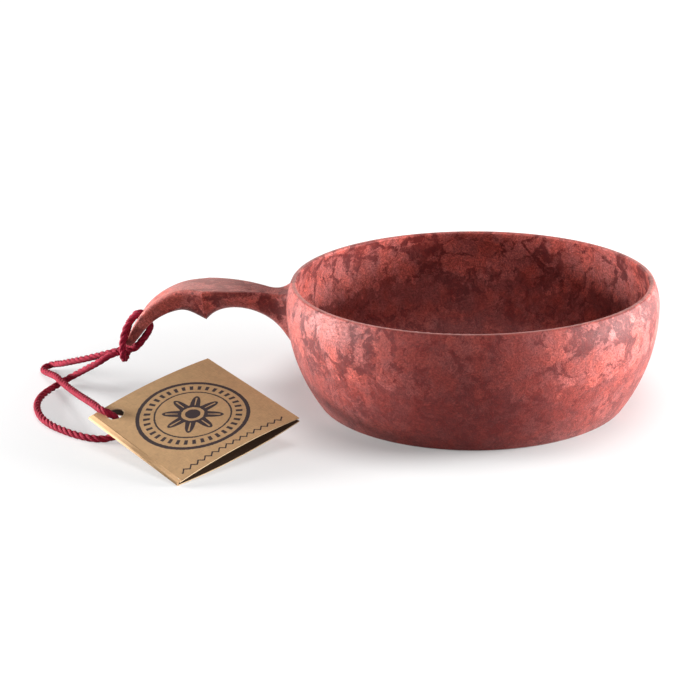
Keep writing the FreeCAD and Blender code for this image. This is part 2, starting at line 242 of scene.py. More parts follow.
# One flake is paler than the next, and each is streaked along its fan.
tone = w.node("ShaderNodeSeparateColor", Color=cells.outputs["Color"]).outputs[0]
pale = w.maths("MULTIPLY", whole, w.ramp(tone, 0.0, 1.0, 0.62, 1.05, smooth=False))
pale = w.maths("MULTIPLY", pale, w.ramp(fan, 0.32, 0.62, 0.42, 1.12))

# The flakes are whole and pale in a ragged band under the rim, and broken below.
level = w.maths("ADD", w.node("ShaderNodeSeparateXYZ", Vector=warped).outputs["Z"],
                w.maths("MULTIPLY", lobe, BAND_WANDER))
band = w.ramp(level, BAND_FOOT, BAND_FULL, 0.34, 1.0)
pale = w.maths("MULTIPLY", pale, band)

# Scraps of fibre lie in the wider gaps, and a soft mottle below the band.
scraps = w.ramp(w.noise(warped, 3.0, 5.0, 0.66), 0.55, 0.60, 0.0, 0.40)
blotch = w.maths("MULTIPLY", w.ramp(w.noise(point, 11.0, 4.0, 0.6), 0.36, 0.60, 0.45, 1.15),
                 w.ramp(band, 0.4, 0.9, 1.0, 0.30))
mottle = w.ramp(w.noise(warped, 5.0, 5.0, 0.68), 0.44, 0.57, 0.04, 0.46)
mottle = w.maths("MULTIPLY", mottle, blotch)
pale = w.maths("MAXIMUM", pale, w.maths("MAXIMUM", scraps, mottle))
dust = w.noise(point, 0.8, 5.0, 0.8)
pale = w.maths("MULTIPLY", pale, w.ramp(dust, 0.36, 0.60, 0.72, 1.22))
pale = w.maths("MULTIPLY", pale, into["Contrast"])
colour = w.mix(pale, into["Matrix"], into["Flake"])

# Thin dark veins of binder and small pits run through all of it.
ridge = w.maths("ABSOLUTE", w.maths("SUBTRACT", w.noise(warped, 4.6, 5.0, 0.6), 0.5))
veins = w.maths("MULTIPLY", w.ramp(ridge, 0.002, 0.026, 1.0, 0.0),
                w.ramp(dust, 0.35, 0.6, 0.9, 0.2))
pits = w.ramp(w.noise(point, 1.3, 4.0, 0.7), 0.30, 0.40, 1.0, 0.0)
dark = w.maths("MAXIMUM", w.maths("MULTIPLY", veins, into["Contrast"]), pits, clamp=True)
colour = w.mix(w.maths("MULTIPLY", dark, 0.6), colour, into["Vein"])
# Dust and the chopped fibres make it lighter and darker from grain to grain.
shade = w.maths("MULTIPLY", w.ramp(dust, 0.32, 0.68, 0.80, 1.20, smooth=False),
                w.ramp(strokes, 0.34, 0.66, 0.76, 1.26, smooth=False))
grey = w.node("ShaderNodeCombineColor", Red=shade, Green=shade, Blue=shade).outputs[0]
colour = w.mix(1.0, colour, grey, "MULTIPLY")

# The dye took unevenly, from brick red to plum.
BRICK_TINT = (1.08, 0.90, 0.84, 1.0)
PLUM_TINT = (0.93, 1.04, 1.14, 1.0)
batch = w.ramp(w.noise(point, 9.0, 3.0, 0.6), 0.36, 0.64)
colour = w.mix(1.0, colour, w.mix(batch, BRICK_TINT, PLUM_TINT), "MULTIPLY")

# The flakes stand a little proud, and the veins and pits lie deeper.
relief = w.maths("ADD", w.maths("MULTIPLY", pale, 0.4), strokes)
relief = w.maths("SUBTRACT", relief, w.maths("MULTIPLY", dark, 0.6))
w.feed(out["Colour"], colour)
w.feed(out["Roughness"], w.ramp(pale, 0.0, 1.0, 0.62, 0.50))
w.feed(out["Height"], relief)

# The rim's height and the stretch of the handle's top that gets a painted highlight, in
# millimetres.
RIM_HEIGHT = 48.0
PAINTED_SHINE_END = -98.0
PAINTED_SHINE_START = -78.0
# How far the surface's relief stands out, in metres.
FIBRE_RELIEF = 0.00014

fibre_board, shader = new_material("moulded wood fibre")
w = Wiring(fibre_board.node_tree)
place = w.node("ShaderNodeTexCoord").outputs["Object"]
millimetres = w.scaled(place, 1000.0)
side = w.node("ShaderNodeSeparateXYZ", Vector=millimetres).outputs
surface = w.node("ShaderNodeGroup", {"node_tree": flakes}, Point=millimetres)
# The flakes lie calmer low down; across the front, which faces away from the side lamps, they
# are toned down as painted shade.
front = w.maths("MULTIPLY", w.ramp(side["Y"], -66.0, -42.0, 1.0, 0.0),
                w.ramp(w.maths("ABSOLUTE", side["X"]), 14.0, 52.0, 1.0, 0.0))
front_shade_calm = w.maths("SUBTRACT", 1.0, w.maths("MULTIPLY", front, 0.66))
contrast_with_front_shade = w.maths("MULTIPLY", w.ramp(side["Z"], 5.0, 24.0, 0.75, 1.0), front_shade_calm)
w.feed(surface.inputs["Contrast"], contrast_with_front_shade)
w.feed(surface.inputs["Gap"], w.ramp(side["Z"], 5.0, 30.0, 0.6, 1.0))
# A pale painted highlight lies along the rim and on the handle's corners.
about = w.node("ShaderNodeNewGeometry").outputs
corners = w.ramp(about["Pointiness"], 0.53, 0.62, 0.0, 0.6)
painted_rim_highlight = w.ramp(side["Z"], RIM_HEIGHT - 0.20, RIM_HEIGHT - 0.02, 0.0, 0.3)
# A painted highlight lies on the up-facing top of the handle.
upward = w.node("ShaderNodeSeparateXYZ", Vector=about["Normal"]).outputs["Z"]
painted_highlight = w.maths("MULTIPLY", w.ramp(side["X"], PAINTED_SHINE_END, PAINTED_SHINE_START, 0.32, 0.0),
                 w.ramp(upward, 0.35, 0.85))
all_painted_highlights = w.maths("MAXIMUM", w.maths("MAXIMUM", corners, painted_rim_highlight), painted_highlight)
# The painted highlights pale the fibre's colour towards pink.
colour = w.mix(all_painted_highlights, surface.outputs["Colour"], srgb(206, 130, 120))
w.feed(shader.inputs["Base Color"], colour)
w.feed(shader.inputs["Roughness"], surface.outputs["Roughness"])
bump = w.node("ShaderNodeBump", Strength=0.5, Distance=FIBRE_RELIEF,
              Height=surface.outputs["Height"])
w.feed(shader.inputs["Normal"], bump.outputs["Normal"])
shader.inputs["Specular IOR Level"].default_value = 0.3
shader.inputs["Sheen Weight"].default_value = 0.22
shader.inputs["Sheen Roughness"].default_value = 0.35
shader.inputs["Sheen Tint"].default_value = (1.0, 0.80, 0.75, 1.0)

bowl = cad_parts["bowl"]
bowl.data.materials.clear()
bowl.data.materials.append(fibre_board)

# ----------------------------------------------------------------------- hitch
# One length of crimson cord, laid up from three yarns. It is doubled, passed up
# through the eyelet and slipped back over the handle's tip, so it grips itself.

# Sizes in metres. YARN_OFFSET is from the cord's middle to a yarn's middle, and
# LAY_LENGTH is the length of cord in which a yarn goes round once.
CORD_DIAMETER = 0.0027
YARNS = 3
YARN_RADIUS = 0.00089
YARN_OFFSET = 0.00055
YARN_SIDES = 10
YARN_MAP_WIDTH = 0.0043
LAY_LENGTH = 0.0092
RING_STEP = 0.0005
YARN_RELIEF = 0.00015


def smooth_line(name, points):
    """Points along the NURBS line whose control points these are."""
    curve = bpy.data.curves.new(name + "_line", "CURVE")
    curve.dimensions = "3D"
    curve.resolution_u = 24
    spline = curve.splines.new("NURBS")
    spline.points.add(len(points) - 1)
    for control, (x, y, z) in zip(spline.points, points):
        control.co = (x, y, z, 1.0)
    spline.order_u = 3
    spline.use_endpoint_u = True
    holder = bpy.data.objects.new(name + "_line", curve)
    scene.collection.objects.link(holder)
    bpy.context.view_layer.update()
    depsgraph = bpy.context.evaluated_depsgraph_get()
    mesh = bpy.data.meshes.new_from_object(holder.evaluated_get(depsgraph))
    line = [vertex.co.copy() for vertex in mesh.vertices]
    bpy.data.objects.remove(holder)
    bpy.data.meshes.remove(mesh)
    return line


def evenly(line, step):
    """The line again, with points the same distance apart."""
    lengths = [0.0]
    for a, b in zip(line, line[1:]):
        lengths.append(lengths[-1] + (b - a).length)
    count = max(2, round(lengths[-1] / step))
    even = []
    i = 0
    for k in range(count + 1):
        at = lengths[-1] * k / count
        while i < len(line) - 2 and lengths[i + 1] < at:
            i += 1
        span = lengths[i + 1] - lengths[i]
        share = (at - lengths[i]) / span if span > 0 else 0.0
        even.append(line[i].lerp(line[i + 1], min(1.0, max(0.0, share))))
    return even, lengths[-1]


def laid_cord(name, line, start_turn=0.0):
    """A cord of twisted yarns along the line, as one mesh with a map along it."""
    even, length = evenly(line, RING_STEP)
    last = len(even) - 1
    tangents = [(even[min(k + 1, last)] - even[max(k - 1, 0)]).normalized()
                for k in range(len(even))]
    side = tangents[0].orthogonal().normalized()
    work = bmesh.new()
    along = work.loops.layers.uv.new("along")
    rings = [[] for _ in range(YARNS)]
    for k, (centre, ahead) in enumerate(zip(even, tangents)):
        side = (side - ahead * side.dot(ahead)).normalized()
        up = ahead.cross(side)
        turn = start_turn + 2 * math.pi * (length * k / last) / LAY_LENGTH
        for yarn in range(YARNS):
            angle = turn + 2 * math.pi * yarn / YARNS
            out_dir = side * math.cos(angle) + up * math.sin(angle)
            round_dir = up * math.cos(angle) - side * math.sin(angle)
            middle = centre + out_dir * YARN_OFFSET
            ring = []
            for n in range(YARN_SIDES):
                spin = 2 * math.pi * n / YARN_SIDES
                reach = out_dir * math.cos(spin) + round_dir * math.sin(spin)
                ring.append(work.verts.new(middle + reach * YARN_RADIUS))
            rings[yarn].append(ring)
    step = length / last
    for yarn, loops in enumerate(rings):
        for k in range(last):
            for n in range(YARN_SIDES):
                m = (n + 1) % YARN_SIDES
                face = work.faces.new(
                    (loops[k][n], loops[k][m], loops[k + 1][m], loops[k + 1][n]))
                face.smooth = True
                corners = ((n, k), (n + 1, k), (n + 1, k + 1), (n, k + 1))
                for loop, (a, b) in zip(face.loops, corners):
                    across = (a / YARN_SIDES + yarn) * YARN_MAP_WIDTH
                    loop[along].uv = (across * 1000, b * step * 1000)
        work.faces.new(list(reversed(loops[0])))
        work.faces.new(loops[-1])
    bmesh.ops.recalc_face_normals(work, faces=work.faces)
    mesh = bpy.data.meshes.new(name)
    work.to_mesh(mesh)
    work.free()
    piece = bpy.data.objects.new(name, mesh)
    scene.collection.objects.link(piece)
    return piece, length


# Short hairs stand off the yarns all along the cord.
MM2_PER_M2 = 1e6
SHORTEST_HAIR = 0.35
fuzz = bpy.data.node_groups.new("cord fuzz", "GeometryNodeTree")
for label, kind, default in (
    ("Geometry", "NodeSocketGeometry", None),
    ("Hairs per mm2", "NodeSocketFloat", 1.3),
    ("Hair Length", "NodeSocketFloat", 0.0010),
    ("Hair Thickness", "NodeSocketFloat", 0.00005),
    ("Lean", "NodeSocketFloat", 1.1),
    ("Seed", "NodeSocketInt", 7),
    ("Material", "NodeSocketMaterial", None),
):
    socket = fuzz.interface.new_socket(label, in_out="INPUT", socket_type=kind)
    if default is not None:
        socket.default_value = default
fuzz.interface.new_socket("Geometry", in_out="OUTPUT", socket_type="NodeSocketGeometry")
w = Wiring(fuzz)
given = fuzz.nodes.new("NodeGroupInput").outputs
density = w.maths("MULTIPLY", given["Hairs per mm2"], MM2_PER_M2)
roots = w.node("GeometryNodeDistributePointsOnFaces", Mesh=given["Geometry"],
               Density=density, Seed=given["Seed"])
sway = w.node("FunctionNodeRandomValue", {"data_type": "FLOAT_VECTOR"}, Seed=given["Seed"])
w.feed(sway.inputs[0], (-1.0, -1.0, -1.0))
w.feed(sway.inputs[1], (1.0, 1.0, 1.0))
lean = w.vector("ADD", roots.outputs["Normal"], w.scaled(sway.outputs[0], given["Lean"]))
stand = w.node("FunctionNodeAlignRotationToVector", {"axis": "Z"}, Vector=lean)
fibre = w.node("GeometryNodeMeshCone", {"fill_type": "NGON"}, Vertices=3, Radius_Top=0.0,
               Radius_Bottom=w.maths("MULTIPLY", given["Hair Thickness"], 0.5),
               Depth=given["Hair Length"])
tall = w.node("FunctionNodeRandomValue", {"data_type": "FLOAT"},
              Seed=w.maths("ADD", given["Seed"], 1.0))
w.feed(tall.inputs[2], SHORTEST_HAIR)
w.feed(tall.inputs[3], 1.0)
hair_scale = w.node("ShaderNodeCombineXYZ", X=1.0, Y=1.0, Z=tall.outputs[1]).outputs[0]
hairs = w.node("GeometryNodeInstanceOnPoints", Points=roots.outputs["Points"],
               Instance=fibre.outputs["Mesh"], Rotation=stand.outputs[0], Scale=hair_scale)
both = fuzz.nodes.new("GeometryNodeJoinGeometry")
grown = w.node("GeometryNodeRealizeInstances", Geometry=hairs.outputs[0])
w.feed(both.inputs[0], grown.outputs[0])
w.feed(both.inputs[0], given["Geometry"])
painted = w.node("GeometryNodeSetMaterial", Geometry=both.outputs[0],
                 Material=given["Material"])
w.feed(fuzz.nodes.new("NodeGroupOutput").inputs[0], painted.outputs[0])


def fuzzy(piece, material, seed):
    """Grow the hairs on a finished cord and keep the result as its plain mesh."""
    growth = piece.modifiers.new("fuzz", "NODES")
    growth.node_group = fuzz
    names = {item.name: item.identifier for item in fuzz.interface.items_tree
             if item.in_out == "INPUT"}
    growth[names["Seed"]] = seed
    growth[names["Material"]] = material
    bpy.context.view_layer.update()
    smooth = piece.data
    depsgraph = bpy.context.evaluated_depsgraph_get()
    piece.data = bpy.data.meshes.new_from_object(piece.evaluated_get(depsgraph))
    piece.data.name = piece.name
    piece.modifiers.clear()
    bpy.data.meshes.remove(smooth)
    # Hairs that meet the table lie flat on it.
    for vertex in piece.data.vertices:
        vertex.co.z = max(vertex.co.z, 0.0)


yarn_stuff, shader = new_material("crimson yarn")
w = Wiring(yarn_stuff.node_tree)
threads = w.node("ShaderNodeUVMap", {"uv_map": "along"}).outputs["UV"]
place = w.scaled(w.node("ShaderNodeTexCoord").outputs["Object"], 1000.0)
slanted = w.node("ShaderNodeMapping", Vector=threads, Rotation=(0.0, 0.0, 0.5),
                 Scale=(1.0, 0.22, 1.0)).outputs[0]
strands = w.noise(slanted, 0.28, 2.0, 0.6)
dye = w.noise(place, 3.5, 3.0, 0.6)
colour = w.mix(w.ramp(strands, 0.3, 0.7), srgb(92, 4, 26), srgb(166, 14, 48))
colour = w.mix(w.maths("MULTIPLY", w.ramp(dye, 0.35, 0.7), 0.35), colour, srgb(176, 40, 70))
w.feed(shader.inputs["Base Color"], colour)
shader.inputs["Roughness"].default_value = 0.78
shader.inputs["Sheen Weight"].default_value = 0.06
shader.inputs["Sheen Roughness"].default_value = 0.5
shader.inputs["Specular IOR Level"].default_value = 0.18
bump = w.node("ShaderNodeBump", Strength=0.6, Distance=YARN_RELIEF, Height=strands)
w.feed(shader.inputs["Normal"], bump.outputs["Normal"])

half_hitch = [
    (-0.1425, 0.00145, 0.0170),
    (-0.1393, 0.00145, 0.0179),
    (-0.1349, 0.00145, 0.0188),
    (-0.1313, 0.00145, 0.0232),
    (-0.1282, 0.00145, 0.0274),
    (-0.1322, 0.00150, 0.0337),
    (-0.1353, 0.00220, 0.0320),
    (-0.1378, 0.00300, 0.0284),
    (-0.1390, 0.00380, 0.0250),
    (-0.1397, 0.00450, 0.0213),
    (-0.1398, 0.00460, 0.0180),
    (-0.1397, 0.00420, 0.0154),
    (-0.1397, 0.00150, 0.0144),
]
other_half = [(x, -y, z) for x, y, z in reversed(half_hitch)]
hitch_line = smooth_line("hitch", half_hitch + other_half)
hitch, _ = laid_cord("cord_around_tip", hitch_line)
fuzzy(hitch, yarn_stuff, seed=3)
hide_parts("cord_hitch")
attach(hitch, "bowl")

# ---------------------------------------------------------------- upper strand
# The end that runs out to the left, turns back over the other one and goes down
# through the holes of both leaves. It is limp, and rests on the table where it
# turns.

upper_route = [
    (-0.1425, 0.00145, 0.0170),
    (-0.1457, 0.00145, 0.0161),
    (-0.1506, 0.0042, 0.0140),
    (-0.1604, 0.0089, 0.0102),
    (-0.1660, 0.0134, 0.0078),
    (-0.1710, 0.0173, 0.0055),
    (-0.1737, 0.0212, 0.0040),
    (-0.1758, 0.0242, 0.0028),
    (-0.1784, 0.0253, 0.0019),
    (-0.1802, 0.0236, 0.0015),
    (-0.1802, 0.0202, 0.0015),
    (-0.1777, 0.0160, 0.0021),
    (-0.1737, 0.0100, 0.0033),
    (-0.1699, 0.0036, 0.0047),
    (-0.1664, -0.0028, 0.0049),
    (-0.1602, -0.0138, 0.0061),
    (-0.1531, -0.0265, 0.0080),
    (-0.1466, -0.0390, 0.0106),
    (-0.1416, -0.0476, 0.0120),
    (-0.1390, -0.0535, 0.0130),
    (-0.1358, -0.0565, 0.0131),
    (-0.1330, -0.0562, 0.0113),
    (-0.13219, -0.05518, 0.00941),
    (-0.13113, -0.05495, 0.00767),
]
upper_line = smooth_line("upper", upper_route)
upper, upper_length = laid_cord("cord_upper", upper_line, start_turn=1.0)
fuzzy(upper, yarn_stuff, seed=5)
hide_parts("cord_upper_strand")
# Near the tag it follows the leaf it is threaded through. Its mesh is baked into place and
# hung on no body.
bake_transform(upper)

# ---------------------------------------------------------------- lower strand
# The other end of the same cord. It lies on the table in an open loop and runs
# in under the tag, to the knot.

lower_route = [
    (-0.1425, -0.00145, 0.0170),
    (-0.1457, -0.00145, 0.0161),
    (-0.1499, -0.0014, 0.0132),
    (-0.1546, 0.0016, 0.0100),
    (-0.1604, 0.0056, 0.0060),
    (-0.1664, 0.0082, 0.0022),
    (-0.1700, 0.0016, 0.0014),
    (-0.1729, -0.0076, 0.0014),
    (-0.1731, -0.0165, 0.0014),
    (-0.1712, -0.0242, 0.0014),
    (-0.1676, -0.0329, 0.0014),
    (-0.1618, -0.0410, 0.0014),
    (-0.1552, -0.0468, 0.0014),
    (-0.1482, -0.0518, 0.0014),
    (-0.1415, -0.0550, 0.0014),
    (-0.1360, -0.0552, 0.0015),
    (-0.13287, -0.05489, 0.00268),
]
lower_line = smooth_line("lower", lower_route)
lower, lower_length = laid_cord("cord_lower", lower_line, start_turn=2.0)
fuzzy(lower, yarn_stuff, seed=8)
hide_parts("cord_lower_strand")
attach(lower, "bowl")

# ------------------------------------------------------------------------ knot
# Both ends are tied together in a tight overhand knot, which is too thick for
# the tag's holes and keeps the tag on.

KNOT_STEPS = 48
KNOT_WIND = 1.6
KNOT_DEPTH = 0.62
KNOT_PULLED_IN = 1.03

knot_low, knot_high = (Vector(c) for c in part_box("cord_knot"))
knot_middle = (knot_low + knot_high) / 2
knot_size = (knot_high - knot_low).x / 2
turns = []
for k in range(KNOT_STEPS + 1):
    t = 2 * math.pi * k / KNOT_STEPS
    turns.append(knot_middle + Vector((
        (math.sin(t) + KNOT_WIND * math.sin(2 * t)) / (1 + KNOT_WIND),
        (math.cos(t) - KNOT_WIND * math.cos(2 * t)) / (1 + KNOT_WIND),
        -KNOT_DEPTH * math.sin(3 * t),
    )) * (knot_size - CORD_DIAMETER / 2 * KNOT_PULLED_IN))
knot, _ = laid_cord("overhand_knot", turns)
fuzzy(knot, yarn_stuff, seed=11)
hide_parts("cord_knot")
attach(knot, "bowl")

# ------------------------------------------------------------------------- tag
# A square of unbleached brown card, folded once and punched for the cord. The
# outside is printed in one dark colour, and the inside is dark all over.

TAG_SIDE = 0.056
FOLD_RADIUS = 0.0006
TAG_PLACE = Vector((-0.1029, -0.0562, 0.0101))
TAG_LIE = Matrix.Rotation(math.radians(14), 3, "X") @ Matrix.Rotation(math.radians(45), 3, "Z")
CARD_RELIEF = 0.00012
fold_line = FOLD_RADIUS - TAG_SIDE / 2
bare_card = srgb(200, 160, 117)
card_core = srgb(226, 198, 160)
print_ink = srgb(46, 32, 34)
inside_ink = srgb(84, 62, 46)

kraft, into, out = group_tree(
    "brown card",
    [
        ("Spot", "vector", None),
        ("Card", "colour", bare_card),
        ("Ink", "colour", print_ink),
        ("Print", "float", 0.0),
        ("Inside", "float", 0.0),
        ("Inside Ink", "colour", inside_ink),
    ],
    [("Colour", "colour"), ("Height", "float")],
)
w = Wiring(kraft)
# Pulp: soft clouds, short fibres lying every way and a few dark specks.
spot = into["Spot"]
clouds = w.noise(spot, 5.0, 4.0, 0.6)
flecks = w.noise(w.vector("MULTIPLY", spot, (1.0, 0.16, 1.0)), 0.35, 3.0, 0.6)
cross = w.noise(w.vector("MULTIPLY", spot, (0.16, 1.0, 1.0)), 0.35, 3.0, 0.6)
fibres = w.maths("ADD", w.maths("MULTIPLY", flecks, 0.5), w.maths("MULTIPLY", cross, 0.5))
specks = w.ramp(w.noise(spot, 0.55, 2.0, 0.5), 0.70, 0.76)
tint = w.maths("MULTIPLY", w.ramp(clouds, 0.3, 0.7, 0.93, 1.06, smooth=False),
               w.ramp(fibres, 0.35, 0.65, 0.86, 1.13, smooth=False))
tint = w.maths("MULTIPLY", tint, w.ramp(specks, 0.0, 1.0, 1.0, 0.72))
grey = w.node("ShaderNodeCombineColor", Red=tint, Green=tint, Blue=tint).outputs[0]
colour = w.mix(1.0, into["Card"], grey, "MULTIPLY")
worn_ink = w.maths("MULTIPLY", into["Print"], w.ramp(fibres, 0.30, 0.42, 0.84, 1.0))
colour = w.mix(worn_ink, colour, into["Ink"])
dyed = w.maths("MULTIPLY", into["Inside"], w.ramp(fibres, 0.32, 0.5, 0.85, 1.0))
colour = w.mix(dyed, colour, into["Inside Ink"])
w.feed(out["Colour"], colour)
w.feed(out["Height"], fibres)

# The print is a badge of two rings, a wreath of short strokes between them and a
# flower with an eye, and a zigzag border along one side. Sizes are in millimetres.
OUTER_RING = 20.6
WREATH = 17.2
WREATH_STROKES = 36
INNER_RING = 14.3
PETALS = 8
PETAL_REACH = 8.6
PETAL_SWELL = 3.0
PETAL_SLIT = 8.0
FLOWER_EYE = 3.6
ZIGZAG_LINE = -25.2
ZIGZAG_PITCH = 3.2
ZIGZAG_END = 23.4


def folk_badge(w, spot, x, y):
    """The print on the tag's outside, as a mask from 0 to 1."""
    ragged = w.maths("SUBTRACT", w.noise(spot, 0.9, 3.0, 0.6), 0.5)
    ragged = w.maths("MULTIPLY", ragged, 0.55)
    reach = w.node("ShaderNodeCombineXYZ", X=x, Y=y).outputs[0]
    radius = w.maths("ADD", w.vector("LENGTH", reach), ragged)
    angle = w.maths("ARCTAN2", y, x)

    def ring(middle, half_width):
        off = w.maths("ABSOLUTE", w.maths("SUBTRACT", radius, middle))
        return w.ramp(off, half_width - 0.06, half_width + 0.06, 1.0, 0.0)

    def spread(count):
        around = w.maths("MULTIPLY", angle, count / (2 * math.pi))
        around = w.maths("FRACT", w.maths("ADD", around, 40.0))
        return w.maths("ABSOLUTE", w.maths("SUBTRACT", around, 0.5))

    strokes = w.ramp(spread(WREATH_STROKES), 0.20, 0.24, 1.0, 0.0)
    wreath = w.maths("MULTIPLY", ring(WREATH, 1.25), strokes)
    lobes = w.maths("COSINE", w.maths("MULTIPLY", angle, float(PETALS)))
    petal_end = w.maths("ADD", PETAL_REACH, w.maths("MULTIPLY", lobes, PETAL_SWELL))
    flower = w.ramp(w.maths("SUBTRACT", radius, petal_end), -0.08, 0.08, 1.0, 0.0)
    slits = w.maths("MULTIPLY", ring(PETAL_SLIT, 2.4), w.ramp(spread(PETALS), 0.455, 0.465))
    bare = w.maths("MAXIMUM", ring(FLOWER_EYE, 0.7), slits)
    flower = w.maths("MULTIPLY", flower, w.maths("SUBTRACT", 1.0, bare))
    saw = w.maths("MULTIPLY", w.maths("ADD", x, 60.0), 1 / ZIGZAG_PITCH)
    saw = w.maths("ABSOLUTE", w.maths("SUBTRACT", w.maths("FRACT", saw), 0.5))
    crest = w.maths("ADD", ZIGZAG_LINE, w.maths("MULTIPLY", saw, ZIGZAG_PITCH))
    across = w.maths("ABSOLUTE", w.maths("SUBTRACT", w.maths("ADD", y, ragged), crest))
    ends = w.ramp(w.maths("ABSOLUTE", x), ZIGZAG_END, ZIGZAG_END + 0.2, 1.0, 0.0)
    border = w.maths("MULTIPLY", w.ramp(across, 0.34, 0.46, 1.0, 0.0), ends)
    rings = w.maths("MAXIMUM", ring(OUTER_RING, 0.75), ring(INNER_RING, 0.35))
    middle = w.maths("MAXIMUM", w.maths("MAXIMUM", wreath, flower), border)
    return w.maths("MAXIMUM", rings, middle)


# The punched hole and where the dark inside begins, in millimetres. The fold's
# strip has no inside, so there it begins beyond the card.
HOLE_MIDDLE = (-20.0, 21.7, 0.0)
INSIDE_FROM = 0.35
NO_INSIDE = 99.0


def card_material(name, inner_side, printed, inner_from=INSIDE_FROM, painted_highlight=0.25):
    """Card for one leaf. inner_side is +1 where its inside looks up, and the
    inside begins inner_from millimetres from the fold's middle."""
    material, shader = new_material(name)
    w = Wiring(material.node_tree)
    seat = w.node("ShaderNodeTexCoord")
    flat = w.node("ShaderNodeMapping", {"vector_type": "TEXTURE"},
                  Vector=seat.outputs["Object"], Location=TAG_PLACE,
                  Rotation=TAG_LIE.to_euler())
    spot = w.scaled(flat.outputs[0], 1000.0)
    x, y, _ = w.node("ShaderNodeSeparateXYZ", Vector=spot).outputs
    inner = TAG_LIE @ Vector((0, 0, inner_side))
    facing = w.vector("DOT_PRODUCT", seat.outputs["Normal"], inner)
    start = fold_line * 1000 + inner_from
    beyond = w.ramp(x, start - 0.01, start + 0.01)
    inside = w.maths("MULTIPLY", w.ramp(facing, 0.4, 0.6), beyond)
    outside = w.ramp(facing, -0.6, -0.4, 1.0, 0.0)
    mask = 0.0
    if printed:
        mask = w.maths("MULTIPLY", folk_badge(w, spot, x, y), outside)
    pulp = w.node("ShaderNodeGroup", {"node_tree": kraft}, Spot=spot, Inside=inside)
    w.feed(pulp.inputs["Print"], mask)
    # The cut edges and the punched hole show the paler core, and a pale painted highlight lies
    # along the fold.
    cut = w.ramp(w.maths("ABSOLUTE", facing), 0.45, 0.65, 1.0, 0.0)
    cut = w.maths("MULTIPLY", w.maths("MULTIPLY", cut, beyond), 0.7)
    level = w.node("ShaderNodeCombineXYZ", X=x, Y=y).outputs[0]
    from_hole = w.vector("DISTANCE", level, HOLE_MIDDLE)
    bruise = w.maths("MULTIPLY", w.ramp(from_hole, 3.3, 3.9, 0.45, 0.0), outside)
    # Painted highlight: the leaves turn paler close to the fold.
    painted_fold_highlight = w.ramp(x, fold_line * 1000 + 0.1, fold_line * 1000 + 1.3, painted_highlight, 0.0)
    pale = w.maths("MAXIMUM", w.maths("MAXIMUM", cut, bruise), painted_fold_highlight)
    colour = w.mix(pale, pulp.outputs["Colour"], card_core)
    w.feed(shader.inputs["Base Color"], colour)
    shader.inputs["Roughness"].default_value = 0.72
    shader.inputs["Specular IOR Level"].default_value = 0.3
    bump = w.node("ShaderNodeBump", Strength=0.35, Distance=CARD_RELIEF,
                  Height=pulp.outputs["Height"])
    w.feed(shader.inputs["Normal"], bump.outputs["Normal"])
    return material


plain_card = card_material("brown card, lower leaf", 1, False)
printed_card = card_material("brown card, printed leaf", -1, True)
for name, material in (("tag_lower_leaf", plain_card), ("tag_upper_leaf", printed_card)):
    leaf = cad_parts[name]
    leaf.data.materials.clear()
    leaf.data.materials.append(material)

# The card's outer ply runs unbroken round the fold. It laps a little way over each leaf,
# lifted off it by a hair. Sizes in metres.
PLY = 0.00003
PLY_LIFT = 0.00001
PLY_INSET = 0.00002
LEAF_SLOPE = 0.123
LOWER_LAP = 0.0012
LOWER_STEPS = 4
UPPER_LAP = 0.0016
UPPER_LEVEL = 0.0007
UPPER_STEPS = 5
BEND_STEPS = 24

ply_path = []
for k in range(LOWER_STEPS, -1, -1):
    back = LOWER_LAP * k / LOWER_STEPS
    ply_path.append((fold_line + back, -FOLD_RADIUS - LEAF_SLOPE * back))
for k in range(1, BEND_STEPS + 1):
    turn = math.radians(270 - 180 * k / BEND_STEPS)
    ply_path.append((fold_line + FOLD_RADIUS * math.cos(turn), FOLD_RADIUS * math.sin(turn)))
for k in range(1, UPPER_STEPS + 1):
    forward = UPPER_LAP * k / UPPER_STEPS
    rise = LEAF_SLOPE * max(0.0, forward - UPPER_LEVEL)
    ply_path.append((fold_line + forward, FOLD_RADIUS + rise))

work = bmesh.new()
rows = []
for i, (x, z) in enumerate(ply_path):
    before = Vector(ply_path[max(0, i - 1)])
    after = Vector(ply_path[min(len(ply_path) - 1, i + 1)])
    onward = (after - before).normalized()
    outward = Vector((-onward.y, onward.x))
    row = []
    for depth in (PLY_LIFT, PLY_LIFT + PLY):
        spot = Vector((x, z)) + outward * depth
        for y in (-TAG_SIDE / 2 + PLY_INSET, TAG_SIDE / 2 - PLY_INSET):
            row.append(work.verts.new(TAG_PLACE + TAG_LIE @ Vector((spot.x, y, spot.y))))
    rows.append(row)
for first, second in zip(rows, rows[1:]):
    for a, b in ((0, 1), (1, 3), (3, 2), (2, 0)):
        face = work.faces.new((first[a], first[b], second[b], second[a]))
        # The two wide sides are smooth, and the two cut edges are sharp.
        face.smooth = abs(b - a) == 1
for row in (rows[0], rows[-1]):
    work.faces.new((row[0], row[1], row[3], row[2]))
bmesh.ops.recalc_face_normals(work, faces=work.faces)
fold_mesh = bpy.data.meshes.new("card_fold")
work.to_mesh(fold_mesh)
work.free()
fold = bpy.data.objects.new("card_fold", fold_mesh)
scene.collection.objects.link(fold)
fold_mesh.materials.append(
    card_material("brown card, fold", 1, False, inner_from=NO_INSIDE, painted_highlight=0.0))
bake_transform(fold)

# ---------------------------------------------------------------------- studio
# A plain white table under four soft lamps: one at each side, one above and one
# low in front. The camera stands a little above the rim and looks down on it.

camera = bpy.data.objects.new("camera", bpy.data.cameras.new("camera"))
camera.data.lens = 82.29
camera.data.sensor_width = 36.0
camera.data.clip_start = 0.01
camera.location = (0.0, -0.6033, 0.22845)
camera.rotation_euler = (
    math.radians(70.8058),
    math.radians(1.3128),
    math.radians(4.1298),
)
scene.collection.objects.link(camera)
scene.camera = camera


